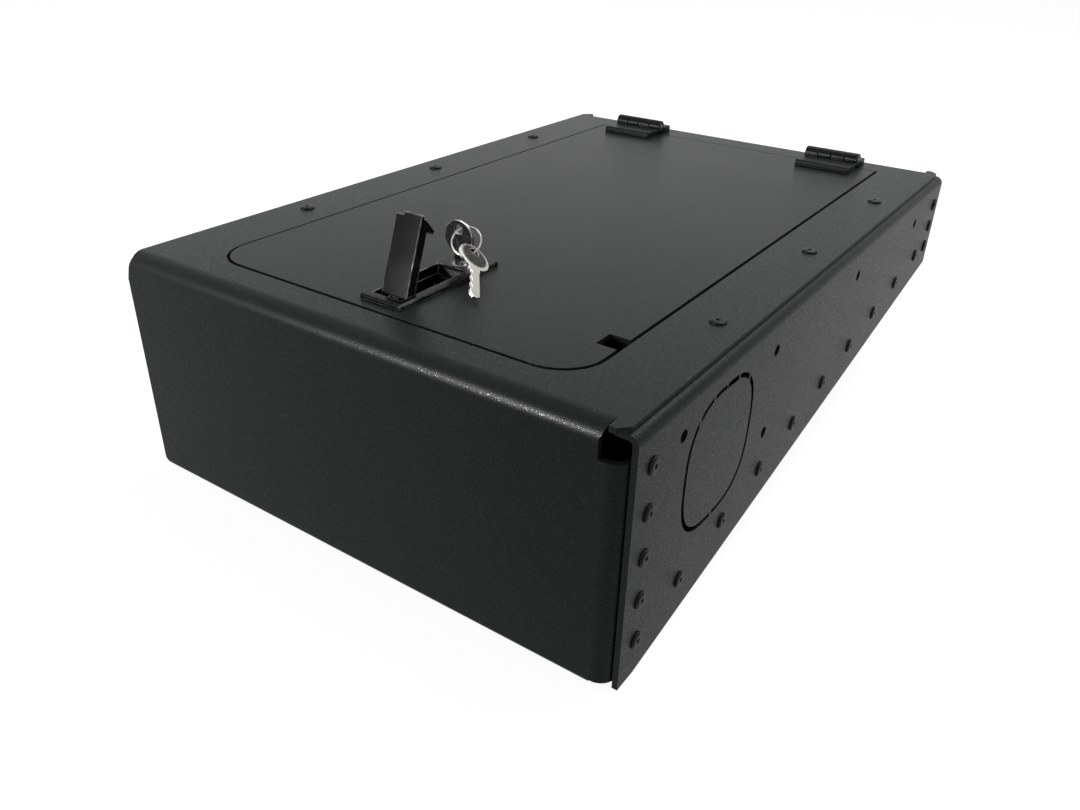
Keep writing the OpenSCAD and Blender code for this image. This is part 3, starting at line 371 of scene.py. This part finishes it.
# Rivets: black blind rivets, pulled from outside through both sheets. Each has a low domed head with a
# rounded rim, a deep hole where its mandrel snapped off, a shank, and a bulb on the far side.
head_radius = 4.8 * mm
head_height = 1.5 * mm
crown_share = 0.58
dome_power = 0.8
dome_steps = 6
hole_radius = 1.25 * mm
hole_floor = -3.6 * mm
stub_height = 0.2 * mm
stub_share = 0.8
lip_drop = 0.25 * mm
lip_sag = 0.03 * mm
lip_inner = 0.2 * mm
lip_outer = 0.5 * mm
shank_radius = 2.4 * mm
grip = 6.4 * mm
bulb_radius = 3.0 * mm
bulb_height = 2.4 * mm
bulb_shoulder = 0.92
bulb_belly = 0.4
bulb_end = 0.8
axis_gap = 0.02 * mm
rivet_sides = 28
place_digits = 5


def surface(name, points, faces, material):
    """A mesh object from an array of points and an array of quads, smooth shaded."""
    mesh = bpy.data.meshes.new(name)
    mesh.from_pydata(points.reshape(-1, 3).tolist(), [], faces.reshape(-1, faces.shape[-1]).tolist())
    mesh.validate()
    mesh.polygons.foreach_set("use_smooth", np.ones(len(mesh.polygons), dtype=bool))
    mesh.materials.append(material)
    piece = bpy.data.objects.new(name, mesh)
    bpy.context.scene.collection.objects.link(piece)
    return piece


def tube_faces(rows, columns):
    """Quads of a grid of rows by columns points whose last column joins the first."""
    r, c = np.meshgrid(np.arange(rows - 1), np.arange(columns), indexing="ij")
    c_next = (c + 1) % columns
    corners = [r * columns + c, r * columns + c_next, (r + 1) * columns + c_next, (r + 1) * columns + c]
    return np.stack(corners, axis=-1).reshape(-1, 4)


def turned(profile, sides):
    """Profile points (radius, height) carried round Z: x = radius cos t, y = radius sin t."""
    t = np.linspace(0, 2 * np.pi, sides, endpoint=False)
    radius, height = profile.T
    x = radius[:, None] * np.cos(t)
    y = radius[:, None] * np.sin(t)
    z = np.repeat(height[:, None], sides, axis=1)
    return np.stack([x, y, z], axis=-1), tube_faces(len(profile), sides)


def rivet_profile():
    """From the mandrel's stub over the domed head, down the shank and round the bulb to the axis.

    The dome is radius = crown + (head radius - crown) sin a, height = head height (cos a) ^ dome power.
    """
    a = np.linspace(0, np.pi / 2, dome_steps)
    crown = head_radius * crown_share
    radius = crown + (head_radius - crown) * np.sin(a)
    height = head_height * np.cos(a) ** dome_power
    dome = np.stack([radius, height], axis=-1)
    hole = [
        (axis_gap, hole_floor + stub_height),
        (hole_radius * stub_share, hole_floor + stub_height / 2),
        (hole_radius, hole_floor),
        (hole_radius, head_height - lip_drop),
        (hole_radius + lip_inner, head_height - lip_sag),
        (hole_radius + lip_outer, head_height),
    ]
    shank_and_bulb = [
        (shank_radius, 0),
        (shank_radius, -grip),
        (bulb_radius * bulb_shoulder, -grip),
        (bulb_radius, -grip - bulb_height * bulb_belly),
        (bulb_radius * bulb_end, -grip - bulb_height),
        (axis_gap, -grip - bulb_height),
    ]
    return np.concatenate([hole, dome, shank_and_bulb])


def merged(parts):
    """Joins (points, faces) pairs into one pair."""
    points = [p.reshape(-1, 3) for p, _ in parts]
    starts = np.cumsum([0] + [len(p) for p in points[:-1]])
    return np.concatenate(points), np.concatenate([f + s for (_, f), s in zip(parts, starts)])


def islands(node):
    """Lowest and highest corners of each separate solid in a node, found by joining touching triangles."""
    shape = bmesh.new()
    shape.from_mesh(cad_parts[node].data)
    bmesh.ops.remove_doubles(shape, verts=shape.verts, dist=weld_distance)
    left = set(shape.verts)
    boxes = []
    while left:
        stack = [left.pop()]
        found = []
        while stack:
            vertex = stack.pop()
            found.append(vertex.co.copy())
            for edge in vertex.link_edges:
                other = edge.other_vert(vertex)
                if other in left:
                    left.remove(other)
                    stack.append(other)
        found = np.array(found)
        boxes.append((found.min(axis=0), found.max(axis=0)))
    shape.free()
    return sorted(boxes, key=lambda b: tuple(np.round(b[0], place_digits)))


def facing(points, outward, place):
    """Turns points drawn along +Z to look along outward, about their own axis, and moves them to place."""
    turn = np.array(Vector((0, 0, 1)).rotation_difference(Vector(outward)).to_matrix())
    return points @ turn.T + np.asarray(place)


rivet_black = coated(
    "rivet_black", colour=(0.005, 0.006, 0.0057, 1), rubbed=(0.05, 0.054, 0.052, 1), roughness=0.34,
    depth=0.02 * mm, size=0.7 * mm, specular=0.12, wear=0.5,
)
rivet_points, rivet_faces = turned(rivet_profile(), rivet_sides)
for node in ("front_rivets", "rear_rivets", "floor_rivets", "top_rivets"):
    parts = []
    for low, high in islands(node):
        middle = (low + high) / 2
        if node == "top_rivets":
            outward, seat = (0, 0, 1), (middle[0], middle[1], high[2] - head_height)
        elif middle[0] > 0:
            outward, seat = (1, 0, 0), (high[0] - head_height, middle[1], middle[2])
        else:
            outward, seat = (-1, 0, 0), (low[0] + head_height, middle[1], middle[2])
        parts.append((facing(rivet_points, outward, seat), rivet_faces))
    points, faces = merged(parts)
    piece = surface(node + "_finished", points, faces, rivet_black)
    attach(piece, "root")
    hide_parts(node)


# Hinges: block hinges of cast zinc with a satin black coat. Each has two leaves that interlock in four
# knuckles on a steel pin, and studs cast into the leaves take nuts from inside.
leaf_edge_round = 0.6 * mm
pin_edge_round = 0.4 * mm
nut_edge_round = 0.3 * mm
hinge_black = coated(
    "hinge_black", colour=(0.005, 0.006, 0.0057, 1), rubbed=(0.12, 0.125, 0.123, 1), roughness=0.33,
    depth=0.03 * mm, size=0.8 * mm, specular=0.07, wear=0.6,
)
zinc_plate = coated(
    "zinc_plate", colour=(0.56, 0.57, 0.57, 1), rubbed=(0.72, 0.72, 0.72, 1), roughness=0.3,
    depth=0.01 * mm, size=0.9 * mm, metallic=1.0, spread=0.2,
)
dull_zinc = coated(
    "dull_zinc", colour=(0.12, 0.12, 0.12, 1), rubbed=(0.5, 0.5, 0.5, 1), roughness=0.42,
    depth=0.012 * mm, size=0.9 * mm, metallic=1.0, spread=0.2,
)
for side in ("left", "right"):
    dressed(f"hinge_{side}_body_leaf", "root", hinge_black, leaf_edge_round)
    dressed(f"hinge_{side}_lid_leaf", "lid", hinge_black, leaf_edge_round)
    dressed(f"hinge_{side}_pin", "root", dull_zinc, pin_edge_round)
dressed("body_hinge_nuts", "root", zinc_plate, nut_edge_round)
dressed("lid_hinge_nuts", "lid", zinc_plate, nut_edge_round)


# Latch: a die-cast zinc rim and recess pan with a gloss black coat, the lever that swings in it,
# and the plain steel pieces under the lid that hold it there and pull the lid down.
rim_edge_round = 0.45 * mm
lever_edge_round = 0.35 * mm
steel_edge_round = 0.25 * mm
gloss_black = coated(
    "gloss_black", colour=(0.004, 0.0046, 0.0044, 1), rubbed=(0.4, 0.41, 0.4, 1), roughness=0.19,
    depth=0.03 * mm, size=0.7 * mm, specular=0.08, spread=0.16, wear=2.0, flecks=0.0,
)
dressed("latch_housing", "lid", gloss_black, rim_edge_round)
dressed("latch_lever", "lever", gloss_black, lever_edge_round)
for node in ("clamp_brackets", "clamp_screws", "lever_pin"):
    dressed(node, "lid", zinc_plate, steel_edge_round)
for node in ("latch_pawl", "pawl_screw"):
    dressed(node, "lever", dull_zinc, steel_edge_round)


# Lock: a wafer lock in the rim's rear end, with its barrel, plug, wafers, nut, cam and clip.
# The plug is nickel plated, and its very dark nickel is painted dark reflection. The wafers are brass.
barrel_edge_round = 0.3 * mm
plug_edge_round = 0.15 * mm
wafer_edge_round = 0.08 * mm
cam_edge_round = 0.2 * mm
# A very dark copy of the keys' nickel for the plug and the key in the lock: painted dark reflection on their
# faces.
nickel_painted_dark_reflection = coated(
    "nickel_painted_dark_reflection", colour=(0.03, 0.031, 0.03, 1), rubbed=(0.85, 0.85, 0.83, 1), roughness=0.2,
    depth=0.01 * mm, size=0.8 * mm, metallic=1.0, spread=0.16, wear=2.5,
)
brass = coated(
    "plain_brass", colour=(0.62, 0.46, 0.2, 1), rubbed=(0.75, 0.6, 0.3, 1), roughness=0.3,
    depth=0.005 * mm, size=0.8 * mm, metallic=1.0,
)
dressed("lock_barrel", "lid", gloss_black, barrel_edge_round)
dressed("lock_nut", "lid", zinc_plate, steel_edge_round)
dressed("lock_plug", "plug", nickel_painted_dark_reflection, plug_edge_round)
dressed("lock_wafers", "plug", brass, wafer_edge_round)
for node in ("lock_cam", "cam_clip"):
    dressed(node, "plug", zinc_plate, cam_edge_round)


# Keys: two flat keys on a split ring, one in the lock and one hanging from the ring. They are stamped from
# nickel silver and tumbled, so their edges are rounded and bright. The ring is flat wire in two coils.
key_edge_round = 0.3 * mm
spare_bow = Vector((16.0, -160.2, 161.7)) * mm
# The dark patch on the spare key's bow is painted dark reflection.
bow_painted_reflection_reach = 9 * mm
bow_painted_reflection = (0.014, 0.014, 0.014, 1)
wire_width = 1.05 * mm
wire_height = 0.62 * mm
coils = 2
coil_play = 1.02
end_gap = 0.15
end_taper = 0.06
end_thinnest = 0.02
steps_along = 220
steps_round = 14

nickel = coated(
    "bright_nickel", colour=(0.46, 0.445, 0.405, 1), rubbed=(0.85, 0.84, 0.8, 1), roughness=0.22,
    depth=0.004 * mm, size=0.8 * mm, metallic=1.0, spread=0.1,
)
# A lighter copy of the keys' nickel for the spare key: painted bright reflection, with a dark patch of
# painted dark reflection on its bow.
spare_nickel_painted_reflections = coated(
    "spare_nickel_painted_reflections", colour=(0.56, 0.54, 0.49, 1), rubbed=(0.85, 0.84, 0.8, 1), roughness=0.24,
    depth=0.006 * mm, size=0.8 * mm, metallic=1.0, spread=0.1, wear=2.5,
    painted_reflection=(spare_bow, bow_painted_reflection_reach, bow_painted_reflection),
)
# The key in the lock takes the dark nickel copy, a painted dark reflection, and the spare takes the lighter
# copy.
dressed("key_in_lock", "key", nickel_painted_dark_reflection, key_edge_round)
dressed("spare_key", "spare", spare_nickel_painted_reflections, key_edge_round)

ring_points = np.array([v.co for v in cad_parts["split_ring"].data.vertices])
ring_middle = (ring_points.min(axis=0) + ring_points.max(axis=0)) / 2
ring_axes = np.linalg.svd(ring_points - ring_points.mean(axis=0), full_matrices=False)[2]
ring_along, ring_normal = ring_axes[0], ring_axes[2]
ring_across = np.cross(ring_normal, ring_along)
ring_reach = np.linalg.norm(ring_points - ring_middle, axis=1).max()
sweep = np.linspace(end_gap, coils * 2 * np.pi - end_gap, steps_along)
around = np.linspace(0, 2 * np.pi, steps_round, endpoint=False)
from_end = np.minimum(sweep - sweep[0], sweep[-1] - sweep)
taper = np.clip(from_end / end_taper, end_thinnest, 1) ** 0.5
lift = (sweep / sweep[-1] - 0.5) * wire_height * coil_play
# The flattened wire's section at each step: out by reach + half width cos, and up by lift + half height sin
out_by = (ring_reach - wire_width / 2) + np.outer(taper, np.cos(around)) * wire_width / 2
up_by = lift[:, None] + np.outer(taper, np.sin(around)) * wire_height / 2
ring_grid = (
    ring_middle
    + (out_by * np.cos(sweep)[:, None])[..., None] * ring_along
    + (out_by * np.sin(sweep)[:, None])[..., None] * ring_across
    + up_by[..., None] * ring_normal
)
piece = surface("split_ring_finished", ring_grid, tube_faces(steps_along, steps_round), nickel)
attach(piece, "ring")
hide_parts("split_ring")


bpy.context.scene.view_settings.view_transform = "Standard"
